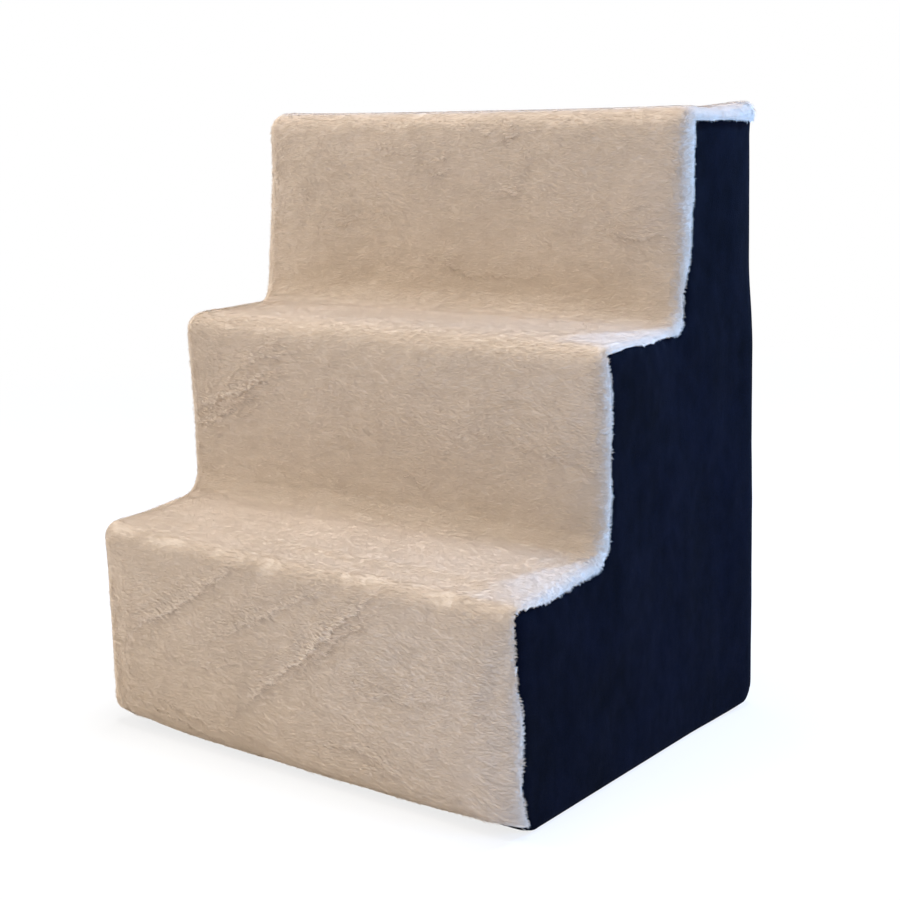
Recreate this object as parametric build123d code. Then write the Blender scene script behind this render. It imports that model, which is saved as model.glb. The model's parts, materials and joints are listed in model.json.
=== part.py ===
from build123d import *
import os

# Three-step pet stairs: a foam core in a sewn cover that opens at the back.
# X is the width, the front faces -Y, +Z is up. The origin is the centre of the
# base, on the floor. All lengths are in millimetres.

# Overall sizes of the covered stairs: each step's rise and going
width = 388
lower_rise = 151
middle_rise = 149
upper_rise = 148
lower_going = 105
middle_going = 105
upper_going = 96
tread_crown = 2
riser_bulge = 2

# Roundings of the plush's outer face
nosing_radius = 15
side_edge_radius = 11
hollow_radius = 7
foot_radius = 15

# Cloth and foam thicknesses
plush = 5
velour = 1.5
pad = 22
crease_radius = 3

# The seam between plush and velour, measured from the plush's outer face, and
# how far past a rounding the side panels and the back end
seam_band = 12
seam_offset = 2

# Base cloth and its rubber dots
lip_height = 4
dot_height = 1
dot_radius = 6
dot_margin = 16
dot_columns = 7
dot_rows = 5

# U-shaped zip in the back
zip_edge = 40
zip_foot = 50
zip_corner = 30
window_half = 9
tape_half = 13
tape = 0.6
tape_tail = 8
chain_half_width = 3.2
chain_gap = 1.4
chain_height = 1.8
chain_round = 0.6
stop_length = 4

# Cloth tabs over the ends of the zip
end_tab_height = 24
end_tab = 1
end_tab_overlap = 4

# Zip slider
slider_length = 13
slider_head = 11
slider_tail = 9.4
slider_round = 1.8
slider_plate = 1.2
lower_plate = 1
post_thickness = 0.8
post_length = 3
flange_length = 8
lug_width = 2.4
lug_length = 8.4
lug_wall = 1.2
lug_round = 1

# Pull tab
pivot_diameter = 1.6
tab_length = 34
tab_head = 8
tab_tail = 6
tab_round = 2.4
tab_eye_length = 7
tab_hole_radius = 1.6

# Clearances
run_gap = 0.3
lug_gap = 0.5
over = 20

# Places worked out from the sizes above, lowest step first
rises = [lower_rise, middle_rise, upper_rise]
goings = [lower_going, middle_going, upper_going]
back = sum(goings) / 2
tread_heights = [sum(rises[: i + 1]) for i in range(len(rises))]
riser_places = [sum(goings[:i]) - back for i in range(len(goings))]
top = tread_heights[-1]

# The skins of the cover, counted inwards from the plush's outer face
bag_inset = plush - velour
base_bottom = dot_height
base_top = base_bottom + velour
cloth_out = back - bag_inset
cloth_in = back - plush
side_out = width / 2 - bag_inset

# Where the side panels, base and back meet, and where the plush ends
wrap_edge = side_out - (side_edge_radius - bag_inset) - seam_offset
heel_edge = cloth_out - (foot_radius - bag_inset) - seam_offset
plush_bottom = base_bottom + lip_height
seam_top = top - seam_band

# The zip's layers, and the room that its slider needs in front of the foam
leg = side_out - zip_edge
tape_in = cloth_in - tape
chain_out = cloth_in + chain_height
lower_out = tape_in - run_gap
lower_in = lower_out - lower_plate
core_back = lower_in - run_gap
tab_foot = seam_top - end_tab_height
zip_top = tab_foot - run_gap - stop_length
corner_top = zip_foot + zip_corner


def region(x0, x1, y0, y1, z0, z1):
    """A box between two corners, for cutting a shell into its panels."""
    box = Box(x1 - x0, y1 - y0, z1 - z0, align=(Align.MIN, Align.MIN, Align.MIN))
    return Pos(x0, y0, z0) * box


def corner(face, y, z):
    """The corner of a side view nearest to a place in the YZ plane."""
    goal = Vector(0, y, z)
    return min(face.vertices(), key=lambda v: (Vector(v.X, v.Y, v.Z) - goal).length)


def stair_profile(inset, rear, floor, bulge, hollow, foot):
    """Side view of the stairs drawn in by inset, with crowned treads."""
    ys = [y + inset for y in riser_places] + [rear]
    zs = [z - inset for z in tread_heights]
    lines = []
    low = floor
    for i, z in enumerate(zs):
        riser_middle = (0, ys[i] - bulge, (low + z) / 2)
        tread_middle = (0, (ys[i] + ys[i + 1]) / 2, z + tread_crown)
        if bulge:
            lines.append(ThreePointArc((0, ys[i], low), riser_middle, (0, ys[i], z)))
        else:
            lines.append(Line((0, ys[i], low), (0, ys[i], z)))
        lines.append(ThreePointArc((0, ys[i], z), tread_middle, (0, ys[i + 1], z)))
        low = z
    lines.append(Line((0, rear, low), (0, rear, floor)))
    lines.append(Line((0, rear, floor), (0, ys[0], floor)))
    face = make_face(Wire(lines))
    for i, z in enumerate(zs):
        face = fillet(corner(face, ys[i], z), nosing_radius - inset)
        if i:
            face = fillet(corner(face, ys[i], zs[i - 1]), hollow)
    face = fillet(corner(face, rear, low), nosing_radius - inset)
    if foot:
        for y in (ys[0], rear):
            face = fillet(corner(face, y, floor), foot)
    return face


def stair_solid(inset, rear, floor, bulge, hollow, foot):
    """The stairs as one full solid with rounded side edges."""
    half = width / 2 - inset
    face = stair_profile(inset, rear, floor, bulge, hollow, foot)
    solid = Pos(-half, 0, 0) * extrude(face, 2 * half, dir=(1, 0, 0))
    sides = solid.faces().sort_by(Axis.X)
    edges = sides[0].edges() + sides[-1].edges()
    if not foot:
        edges = edges.filter_by(lambda e: e.center().Z > floor + inset)
    return fillet(edges, side_edge_radius - inset)


# The skins' surfaces: outside of the plush, outside of the velour, inside of both
plush_body = stair_solid(0, back, -over, riser_bulge, hollow_radius, 0)
bag_body = stair_solid(
    bag_inset, cloth_out, base_bottom, riser_bulge, hollow_radius + bag_inset, foot_radius - bag_inset
)
cavity = stair_solid(
    plush, cloth_in, base_top, riser_bulge, hollow_radius + plush, foot_radius - plush
)
bag = bag_body - cavity

# What lies inside the seam line, where velour takes over from plush
seam_face = stair_profile(
    seam_band, back + over, -over, riser_bulge, hollow_radius + seam_band, 0
)
inside_seam = Pos(-width, 0, 0) * extrude(seam_face, 2 * width, dir=(1, 0, 0))


def step_runner():
    """Plush over the treads and risers, turned onto the sides and the back."""
    above_base = region(-width, width, -width, width, plush_bottom, top + over)
    return (plush_body - cavity - inside_seam) & above_base


def side_panel():
    """Left stepped velour panel, which wraps round the back and under the base."""
    below_plush = region(-width, width, -width, 0, 0, plush_bottom)
    side = bag & region(-width, -wrap_edge, -width, width, 0, top)
    return side & (inside_seam + below_plush)


def base_panel():
    """Base cloth, which curls up under the front riser."""
    return bag & region(-wrap_edge, wrap_edge, -width, heel_edge, 0, plush_bottom)


def grip_dots():
    """Rubber dots spread evenly over the flat of the base."""
    reach = wrap_edge - dot_margin
    near, far = foot_radius - back + dot_margin, heel_edge - dot_margin
    dots = []
    for column in range(dot_columns):
        for row in range(dot_rows):
            x = reach * (2 * column / (dot_columns - 1) - 1)
            y = near + (far - near) * row / (dot_rows - 1)
            dot = Cylinder(dot_radius, dot_height, align=(Align.CENTER, Align.CENTER, Align.MIN))
            dots.append(Pos(x, y, 0) * dot)
    return dots


# Foam core: its risers are cut flat, and the room for the slider is left behind it
core = stair_solid(plush, core_back, base_top, 0, crease_radius, foot_radius - plush)
inner_risers = [y + plush for y in riser_places]
pad_floors = [z - plush - pad for z in tread_heights]


def foam_block(i):
    """One slab of the stacked core, under the pad of its own step."""
    low = pad_floors[i - 1] if i else 0
    near = inner_risers[i] if i else -width
    return core & region(-width, width, near, width, low, pad_floors[i])


def tread_pad(i):
    """Soft foam on one tread, which rounds the nosing."""
    far = inner_risers[i + 1] - crease_radius if i + 1 < len(rises) else width
    return core & region(-width, width, -width, far, pad_floors[i], top + over)


def bay(offset, y0, y1, high):
    """The area inside the U of the zip, grown by offset, as a slab."""
    half = leg + offset
    slab = region(-half, half, y0, y1, zip_foot - offset, high)
    lower = slab.edges().filter_by(Axis.Y).group_by(Axis.Z)[0]
    return fillet(lower, zip_corner + offset)


def zip_strip(near, far, y0, y1, high):
    """A strip along the U, from one distance to another off its centre line."""
    inner, outer = sorted((near, far))
    return bay(outer, y0, y1, high) - bay(inner, y0 - over, y1 + over, high + over)


def back_panels():
    """Velour inside and outside the zip's window."""
    wall = bag & inside_seam & region(-wrap_edge, wrap_edge, heel_edge, width, 0, top)
    lower = region(-width, width, -width, width, 0, corner_top)
    flap = wall & bay(-window_half, -width, width, top)
    rim = wall - bay(window_half, -width, width, top)
    low_rim = rim & lower
    sides = (rim - lower).solids().sort_by(Axis.X)
    return flap, low_rim, sides[0], sides[-1]


def teeth_row(side):
    """One row of teeth along the inside or outside of the zip's centre line."""
    row = zip_strip(side * chain_gap / 2, side * chain_half_width, cloth_in, chain_out, zip_top)
    rims = row.faces().sort_by(Axis.Y)[-1].edges()
    return fillet(rims, chain_round)


def top_stops():
    """Two crimps at the end of the slider's leg."""
    stops = []
    for side in (-1, 1):
        x0, x1 = sorted((leg + side * chain_gap / 2, leg + side * chain_half_width))
        stops.append(region(x0, x1, cloth_in, chain_out, zip_top, zip_top + stop_length))
    return stops


def bottom_stop():
    """The box that joins both rows at the zip's other end."""
    box = region(
        -leg - chain_half_width, chain_half_width - leg, cloth_in, chain_out, zip_top, zip_top + stop_length
    )
    return fillet(box.edges().filter_by(Axis.Y), chain_round)


def end_tab_at(side):
    """Cloth tab sewn across the window above the end of the zip."""
    reach = window_half + end_tab_overlap
    x = side * leg
    return region(x - reach, x + reach, cloth_out, cloth_out + end_tab, tab_foot, seam_top)


# The slider is parked at the closed end of its leg
slider_high = zip_top - run_gap
slider_low = slider_high - slider_length
slider_middle = (slider_high + slider_low) / 2
plate_in = chain_out + run_gap
plate_out = plate_in + slider_plate
pivot = pivot_diameter / 2
pivot_y = plate_out + run_gap + pivot
lug_low = slider_middle - lug_length / 2
pivot_z = lug_low + lug_wall + run_gap + pivot


def slider_shape(y0, y1):
    """The slider's tapered outline as a plate."""
    head, tail = slider_head / 2, slider_tail / 2
    outline = Polyline(
        (leg - tail, y0, slider_low), (leg + tail, y0, slider_low),
        (leg + head, y0, slider_high), (leg - head, y0, slider_high), close=True,
    )
    plate = extrude(make_face(outline), y1 - y0, dir=(0, 1, 0))
    return fillet(plate.edges().filter_by(Axis.Y), slider_round)


def zip_slider():
    """Two plates joined by a post, with flanges beside the teeth and a lug."""
    body = slider_shape(plate_in, plate_out) + slider_shape(lower_in, lower_out)
    post = post_thickness / 2
    body += region(leg - post, leg + post, lower_in, plate_out, slider_high - post_length, slider_high)
    flange_in = chain_half_width + run_gap
    flange_out = slider_tail / 2
    flange_low = slider_low + slider_round
    for side in (-1, 1):
        x0, x1 = sorted((leg + side * flange_in, leg + side * flange_out))
        body += region(x0, x1, cloth_in + run_gap, plate_out, flange_low, flange_low + flange_length)
    half = lug_width / 2
    hole_out = pivot_y + pivot + run_gap
    lug = region(leg - half, leg + half, plate_in, hole_out + lug_wall, lug_low, lug_low + lug_length)
    outer_rims = lug.edges().filter_by(Axis.X).group_by(Axis.Y)[-1]
    lug = fillet(outer_rims, lug_round)
    hole_high = lug_low + lug_length - lug_wall
    lug -= region(leg - over, leg + over, plate_out, hole_out, lug_low + lug_wall, hole_high)
    return body + lug


def zip_pull_tab():
    """Tapered tab whose crossbar passes through the slider's lug."""
    head, tail = tab_head / 2, tab_tail / 2
    low = pivot_z - tab_length
    y0, y1 = pivot_y - pivot, pivot_y + pivot
    outline = Polyline(
        (leg - tail, y0, low), (leg + tail, y0, low),
        (leg + head, y0, pivot_z), (leg - head, y0, pivot_z), close=True,
    )
    tab = extrude(make_face(outline), y1 - y0, dir=(0, 1, 0))
    tab = fillet(tab.edges().filter_by(Axis.Y).group_by(Axis.Z)[0], tab_round)
    eye = lug_width / 2 + lug_gap
    tab -= region(leg - eye, leg + eye, y0 - over, y1 + over, pivot_z - tab_eye_length, pivot_z + over)
    hole = Cylinder(tab_hole_radius, pivot_diameter + over, rotation=(90, 0, 0))
    tab -= Pos(leg, pivot_y, low + tail + pivot_diameter) * hole
    bar = Cylinder(pivot, tab_head, rotation=(0, 90, 0))
    return tab + Pos(leg, pivot_y, pivot_z) * bar


step_names = ["lower", "middle", "upper"]
left_panel = side_panel()
flap, low_rim, left_rim, right_rim = back_panels()

parts = {"step_runner": step_runner()}
parts["side_panel_left"] = left_panel
parts["side_panel_right"] = mirror(left_panel, Plane.YZ)
parts["base_panel"] = base_panel()
parts["grip_dots"] = Compound(grip_dots())
for i, name in enumerate(step_names):
    parts["foam_block_" + name] = foam_block(i)
    parts["tread_pad_" + name] = tread_pad(i)
parts["back_flap"] = flap
parts["back_border_bottom"] = low_rim
parts["back_border_left"] = left_rim
parts["back_border_right"] = right_rim
tape_top = tab_foot + tape_tail
for name, side in (("inner", -1), ("outer", 1)):
    parts["zip_tape_" + name] = zip_strip(
        side * chain_gap / 2, side * tape_half, tape_in, cloth_in, tape_top
    )
    parts["zip_coil_" + name] = teeth_row(side)
parts["zip_top_stops"] = Compound(top_stops())
parts["zip_bottom_stop"] = bottom_stop()
parts["zip_end_tab_left"] = end_tab_at(-1)
parts["zip_end_tab_right"] = end_tab_at(1)
parts["zip_slider"] = zip_slider()
parts["zip_pull_tab"] = zip_pull_tab()

os.makedirs("parts", exist_ok=True)
for name, shape in parts.items():
    export_step(shape, "parts/" + name + ".step")
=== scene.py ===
# %% [markdown]
# # Three-step pet stairs
# The real object is a stack of foam in a sewn cover. A cream plush runner goes
# over treads and risers in one length, and navy velour closes the sides, the
# base and the back, where a U-shaped zip lets the foam out for washing. The
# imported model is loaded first, because it fixes every size and place: each
# piece made here lies where its solid lies.

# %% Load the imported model
import json
import math
from contextlib import contextmanager

import bmesh
import bpy
import numpy as np
from mathutils import Matrix, Vector

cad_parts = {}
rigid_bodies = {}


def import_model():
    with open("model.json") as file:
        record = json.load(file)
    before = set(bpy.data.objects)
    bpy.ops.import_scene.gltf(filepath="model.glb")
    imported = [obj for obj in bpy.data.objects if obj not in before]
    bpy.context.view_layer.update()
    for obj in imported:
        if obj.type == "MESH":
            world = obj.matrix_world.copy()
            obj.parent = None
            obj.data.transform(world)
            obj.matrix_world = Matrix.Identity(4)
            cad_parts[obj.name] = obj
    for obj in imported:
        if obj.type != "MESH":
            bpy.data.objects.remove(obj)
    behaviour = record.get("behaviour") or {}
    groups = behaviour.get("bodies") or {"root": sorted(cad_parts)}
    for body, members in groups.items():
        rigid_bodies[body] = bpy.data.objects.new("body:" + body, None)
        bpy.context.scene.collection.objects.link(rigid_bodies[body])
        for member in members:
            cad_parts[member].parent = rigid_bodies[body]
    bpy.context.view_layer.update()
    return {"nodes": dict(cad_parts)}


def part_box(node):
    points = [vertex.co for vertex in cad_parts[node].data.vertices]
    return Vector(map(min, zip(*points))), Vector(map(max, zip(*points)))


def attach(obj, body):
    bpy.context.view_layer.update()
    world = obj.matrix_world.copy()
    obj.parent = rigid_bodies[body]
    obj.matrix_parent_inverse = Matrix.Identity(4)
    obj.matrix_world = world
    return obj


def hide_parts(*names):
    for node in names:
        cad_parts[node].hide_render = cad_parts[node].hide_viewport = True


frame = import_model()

# %% [markdown]
# ## The sizes that every piece shares
# All lengths are in metres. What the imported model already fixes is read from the
# boxes of its pieces. The three risers stand at the values of y below, the treads
# lie at the values of z, and the plush meets the velour on a seam 8.5 mm in from
# the outer face. `wrap` is where the side panels end on the back, and the zip's
# U has its legs at `leg` and its lowest line at `zip_foot`.

# %% Sizes
def box_side(node, corner, axis):
    """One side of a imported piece's box, to a tenth of a millimetre."""
    return round(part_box(node)[corner][axis], 4)


half_width = box_side("step_runner", 1, 0)
plush_foot = box_side("step_runner", 0, 2)
wrap = -box_side("side_panel_left", 1, 0)
velour_depth = round(half_width + box_side("side_panel_left", 0, 0), 4)
back = round(box_side("side_panel_left", 1, 1) + velour_depth, 4)
tape_top = box_side("zip_tape_outer", 1, 2)
tape_reach = 0.0130
leg = round(box_side("zip_tape_outer", 1, 0) - tape_reach, 4)
zip_foot = round(box_side("zip_tape_outer", 0, 2) + tape_reach, 4)
zip_corner = 0.030
risers = (-0.153, -0.048, 0.057)
treads = (0.151, 0.300, 0.448)
heel = box_side("base_panel", 1, 1)
seam_band = 0.0085
print("half width", half_width, "back", back, "velour depth", velour_depth, "wrap", wrap)
print("zip leg", leg, "zip foot", zip_foot, "tape top", tape_top)

# %% [markdown]
# ## Modelling by hand, from a script
# Each tool of the edit mode acts on what is selected, so the helpers below
# deselect everything, open a piece for editing, and pick its faces or edges by
# their place and direction.

# %% Helpers for modelling
def block(name, low, high):
    """Adds a cube that reaches from one corner to the other."""
    bpy.ops.object.select_all(action="DESELECT")
    low, high = Vector(low), Vector(high)
    bpy.ops.mesh.primitive_cube_add(size=1, location=(low + high) / 2, scale=high - low)
    bpy.ops.object.transform_apply(location=True, rotation=True, scale=True)
    piece = bpy.context.object
    piece.name = piece.data.name = name
    return piece


def make_active(piece):
    bpy.ops.object.select_all(action="DESELECT")
    piece.select_set(True)
    bpy.context.view_layer.objects.active = piece


@contextmanager
def editing(piece):
    """Opens one piece in edit mode, and leaves it again."""
    make_active(piece)
    bpy.ops.object.mode_set(mode="EDIT")
    yield
    bpy.ops.object.mode_set(mode="OBJECT")


def pick(kind, test):
    """In edit mode, selects the faces or edges whose middle and direction pass a test."""
    bpy.ops.mesh.select_mode(type=kind)
    bpy.ops.mesh.select_all(action="DESELECT")
    mesh = bpy.context.object.data
    shape = bmesh.from_edit_mesh(mesh)
    if kind == "FACE":
        found = [f for f in shape.faces if test(f.calc_center_median(), f.normal)]
    else:
        found = []
        for edge in shape.edges:
            a, b = (v.co for v in edge.verts)
            if test((a + b) / 2, (b - a).normalized()):
                found.append(edge)
    for item in found:
        item.select_set(True)
    bmesh.update_edit_mesh(mesh)
    return len(found)


def extrude(x=0.0, y=0.0, z=0.0):
    bpy.ops.mesh.extrude_region_move(TRANSFORM_OT_translate={"value": (x, y, z)})


def add_modifier(piece, kind, **settings):
    """Adds a modifier with its settings and applies it."""
    make_active(piece)
    bpy.ops.object.modifier_add(type=kind)
    modifier = piece.modifiers[-1]
    for name, value in settings.items():
        setattr(modifier, name, value)
    bpy.ops.object.modifier_apply(modifier=modifier.name)


def near(a, b, slack=0.0004):
    return abs(a - b) < slack


# %% [markdown]
# ## The swollen body of the stairs
# The cover has to look stuffed, so it starts as a plain stair block: one cube is
# cut across at the risers, its back is pulled up twice to make the steps, and
# the nosings, hollows and side edges are bevelled. The same steps make the body
# of the plush and, a little smaller, the body of the velour.

# %% Build a stair block
sole_edge = 0.0015


def stair_block(name, inset, floor, nosing, hollow, side, foot):
    """The stairs as one closed block that stands on floor, drawn in by inset all round.

    nosing, hollow, side and foot are the sizes of the bevels."""
    half = half_width - inset
    ys = [y + inset for y in risers]
    zs = [z - inset for z in treads]
    rear = back - inset
    body = block(name, (-half, ys[0], floor), (half, rear, zs[0]))
    with editing(body):
        for y in ys[1:]:
            bpy.ops.mesh.select_all(action="SELECT")
            bpy.ops.mesh.bisect(plane_co=(0, y, 0), plane_no=(0, 1, 0))
        for y, low, high in zip(ys[1:], zs, zs[1:]):
            pick("FACE", lambda c, n: n.z > 0.9 and near(c.z, low) and c.y > y)
            extrude(z=high - low)
        corners = [(y, z, nosing) for y, z in zip(ys, zs)] + [(rear, zs[-1], nosing)]
        corners += [(y, z, hollow) for y, z in zip(ys[1:], zs)]
        if foot:
            corners += [(ys[0], floor, foot), (rear, floor, foot)]
        for y, z, radius in corners:
            pick("EDGE", lambda c, d: abs(d.x) > 0.9 and near(c.y, y) and near(c.z, z))
            bpy.ops.mesh.bevel(offset=radius, segments=5, clamp_overlap=False)
        pick("EDGE", lambda c, d: near(abs(c.x), half) and abs(d.x) < 0.1 and c.z > floor + 0.001)
        bpy.ops.mesh.bevel(offset=side, segments=4, clamp_overlap=False)
        pick("EDGE", lambda c, d: near(abs(c.x), half) and abs(d.y) > 0.9 and near(c.z, floor))
        bpy.ops.mesh.bevel(offset=sole_edge, segments=2, clamp_overlap=False)
        bpy.ops.mesh.select_all(action="SELECT")
        bpy.ops.mesh.remove_doubles(threshold=0.0002)
        bpy.ops.mesh.normals_make_consistent(inside=False)
    return body


plush_body = stair_block("plush_body", inset=0.0015, floor=-0.02,
                         nosing=0.014, hollow=0.022, side=0.009, foot=0)
velour_body = stair_block("velour_body", inset=velour_depth, floor=0.001,
                          nosing=0.012, hollow=0.018, side=0.008, foot=0.0115)
print("faces of the two blocks:", len(plush_body.data.polygons), len(velour_body.data.polygons))

# %% [markdown]
# ## Points and smooth unevenness
# Cloth is never quite even. `ripple` adds up a few sine waves in mixed directions,
# which gives soft hills about as wide as the size asked for, and the same ones
# in each run.

# %% Helpers on a piece's points
def points(piece):
    flat = np.empty(3 * len(piece.data.vertices))
    piece.data.vertices.foreach_get("co", flat)
    return flat.reshape(-1, 3)


def put_points(piece, places):
    piece.data.vertices.foreach_set("co", np.ascontiguousarray(places).ravel())
    piece.data.update()


def normals(piece):
    flat = np.empty(3 * len(piece.data.vertices))
    piece.data.vertices.foreach_get("normal", flat)
    return flat.reshape(-1, 3)


def ripple(places, size, seed, waves=14):
    """Smooth unevenness from about -1 to 1, with hills about size apart."""
    rng = np.random.default_rng(seed)
    turns = rng.normal(size=(waves, 3))
    turns /= np.linalg.norm(turns, axis=1)[:, None]
    turns *= 2 * math.pi / size * rng.uniform(0.6, 1.3, (waves, 1))
    starts = rng.uniform(0, 2 * math.pi, waves)
    return np.sin(places @ turns.T + starts).sum(1) / math.sqrt(waves)


# %% [markdown]
# ## Swelling by cloth simulation
# The block is remeshed into even squares, then a cloth simulation blows it up
# against its own stretch, as foam does that is a little too large for its cover.
# Its underside is held. The cloth is given a little more length than the block,
# so that it also buckles slightly, and no point may end more than a few
# millimetres from its start, because the foam inside keeps the shape.

# %% Remesh and swell the plush
cloth_square = 0.0055
swell_frames = 20


def remesh(piece):
    piece.data.remesh_voxel_size = cloth_square
    make_active(piece)
    bpy.ops.object.voxel_remesh()


def swell(piece, held, reach, extra):
    """Blows a closed cloth up, with a share of extra length, and keeps it within reach of its start."""
    before = points(piece)
    group = piece.vertex_groups.new(name="held")
    group.add(np.flatnonzero(held(before)).tolist(), 1.0, "REPLACE")
    make_active(piece)
    bpy.ops.object.modifier_add(type="CLOTH")
    cloth = piece.modifiers[-1]
    cloth.settings.quality = 4
    cloth.settings.mass = 0.3
    cloth.settings.bending_stiffness = 0.5
    cloth.settings.shrink_min = -extra
    cloth.settings.use_pressure = True
    cloth.settings.uniform_pressure_force = 4
    cloth.settings.effector_weights.gravity = 0
    cloth.settings.vertex_group_mass = group.name
    cloth.collision_settings.use_collision = False
    for step in range(1, swell_frames + 1):
        bpy.context.scene.frame_set(step)
    bpy.ops.object.modifier_apply(modifier=cloth.name)
    bpy.context.scene.frame_set(1)
    move = points(piece) - before
    far = np.linalg.norm(move, axis=1)
    print(piece.name, "swelled by up to", round(far.max() * 1000, 1), "mm")
    move *= (reach * np.tanh(far / reach) / np.maximum(far, 1e-9))[:, None]
    put_points(piece, before + move)


remesh(plush_body)
swell(plush_body, lambda p: p[:, 2] < 0.002, reach=0.0016, extra=0.008)
add_modifier(plush_body, "SUBSURF", levels=1, render_levels=1)
print("points of the plush body:", len(plush_body.data.vertices))

# %% [markdown]
# ## Cutting cloth along a seam
# How deep a point lies below the line of treads and risers, seen from the side
# and with its corners rounded, tells on which side of a seam it is. `trim`
# deletes the faces on the wrong side of such a measure and draws the cut edge
# onto the line.

# %% The line of treads and risers
def arc(y, z, radius, start, end):
    """Points on an arc of the side view, round a centre at y and z."""
    return [(y + radius * math.cos(turn), z + radius * math.sin(turn)) for turn in np.linspace(start, end, 5)]


nose, hollow = 0.013, 0.012
below_ground, past_back = -0.1, 0.3
stair_line = [(risers[0], below_ground)]
for step, (y, z) in enumerate(zip(risers, treads)):
    stair_line += arc(y + nose, z - nose, nose, math.pi, math.pi / 2)
    if step < 2:
        stair_line += arc(risers[step + 1] - hollow, z + hollow, hollow, -math.pi / 2, 0)
stair_line.append((past_back, treads[-1]))


def depth(places):
    """Distance in from the line of treads and risers, in the side view."""
    p = places[:, 1:]
    nearest, inside = np.full(len(p), 9.0), np.ones(len(p))
    for a, b in zip(np.array(stair_line[:-1]), np.array(stair_line[1:])):
        way = b - a
        part = np.clip((p - a) @ way / (way @ way), 0, 1)
        gap = p - a - part[:, None] * way
        far = np.linalg.norm(gap, axis=1)
        closer = far < nearest - 1e-9
        nearest = np.where(closer, far, nearest)
        inside = np.where(closer, np.where(gap[:, 0] * way[1] > gap[:, 1] * way[0], 1, -1), inside)
    return nearest * inside


print("points of the stair line:", len(stair_line))

# %% A cut along a measure
def slope_of(measure, places, tiny=1e-4):
    """How steeply a measure rises in x, y and z."""
    return np.stack([(measure(places + tiny * axis) - measure(places - tiny * axis)) / (2 * tiny)
                     for axis in np.eye(3)], 1)


def trim(piece, keep, snap=0.004):
    """Keeps the faces where keep is above 0, and draws the cut edge to where it is 0."""
    mesh = piece.data
    middles = np.empty(3 * len(mesh.polygons))
    mesh.polygons.foreach_get("center", middles)
    drop = keep(middles.reshape(-1, 3)) < 0
    for part in (mesh.vertices, mesh.edges):
        part.foreach_set("select", np.zeros(len(part), bool))
    mesh.polygons.foreach_set("select", drop)
    with editing(piece):
        bpy.ops.mesh.select_mode(type="FACE")
        bpy.ops.mesh.delete(type="FACE")
    mesh = piece.data
    uses = np.empty(len(mesh.loops), int)
    mesh.loops.foreach_get("edge_index", uses)
    ends = np.empty(2 * len(mesh.edges), int)
    mesh.edges.foreach_get("vertices", ends)
    rim = np.unique(ends.reshape(-1, 2)[np.bincount(uses, minlength=len(mesh.edges)) == 1])
    places = points(piece)
    p = places[rim]
    for _ in range(2):
        gap = keep(p)
        slope = slope_of(keep, p, tiny=1e-5)
        slope /= np.maximum(np.linalg.norm(slope, axis=1), 0.3)[:, None]
        p = p - np.where(abs(gap) < snap, gap, 0)[:, None] * slope
    places[rim] = p
    put_points(piece, places)


# %% [markdown]
# ## Where the seam runs
# A hand-sewn seam is never straight. `ramp` and `bump_at` say where along the stairs
# something happens, and the seam on the right side strays by a few millimetres
# there, as it does on the real cover. The other seams only ripple.

# %% The wandering seam
def ramp(values, start, end):
    """0 before start, 1 beyond end, and a smooth rise between them."""
    part = np.clip((values - start) / (end - start), 0, 1)
    return part * part * (3 - 2 * part)


def bump_at(values, middle, width):
    """1 at middle, and a smooth fall to 0 on both sides of it."""
    return np.exp(-((values - middle) / width) ** 2)


def seam_wander(places):
    """How far the seam strays in from its straight line."""
    x, y, z = places.T
    top_band = 0.003 * ramp(z, 0.33, 0.42) + 0.004 * ramp(y, 0.09, 0.14)
    upper_hollow = 0.005 * bump_at(z, 0.305, 0.024) * ramp(y, 0.045, 0.062)
    middle_nosing = 0.003 * bump_at(z, 0.29, 0.02) * (1 - ramp(y, 0.04, 0.06))
    lower_tread = 0.002 * ramp(y, -0.13, -0.09) * (1 - ramp(y, -0.07, -0.045)) * ramp(-z, -0.22, -0.17)
    lower_nosing = 0.003 * bump_at(z, 0.122, 0.03) * bump_at(ramp(y, -0.15, -0.10), 0, 0.5)
    drift = top_band - upper_hollow - middle_nosing + lower_tread - lower_nosing
    return 0.0008 * ripple(places, 0.045, 3) + drift * ramp(x, 0.160, 0.188)


def to_seam(places):
    """How far points of the plush are from its seam."""
    return seam_band + seam_wander(places) - depth(places)


def foot_line(places):
    """The height of the plush's lower edge, which rides up a little near both ends."""
    x = places[:, 0]
    return plush_foot + 0.0035 * bump_at(x, 0.18, 0.04) + 0.002 * bump_at(x, -0.155, 0.015)


# %% [markdown]
# ## How the cover has settled
# In use the stack of foam leans and the cover sags. All pieces of the cover share
# one soft distortion, so that they still meet at their seams. The first lines of
# `settle` say where each effect acts, as a share from 0 to 1, and the last lines
# say how far it moves the cloth in x, y and z.

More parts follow.
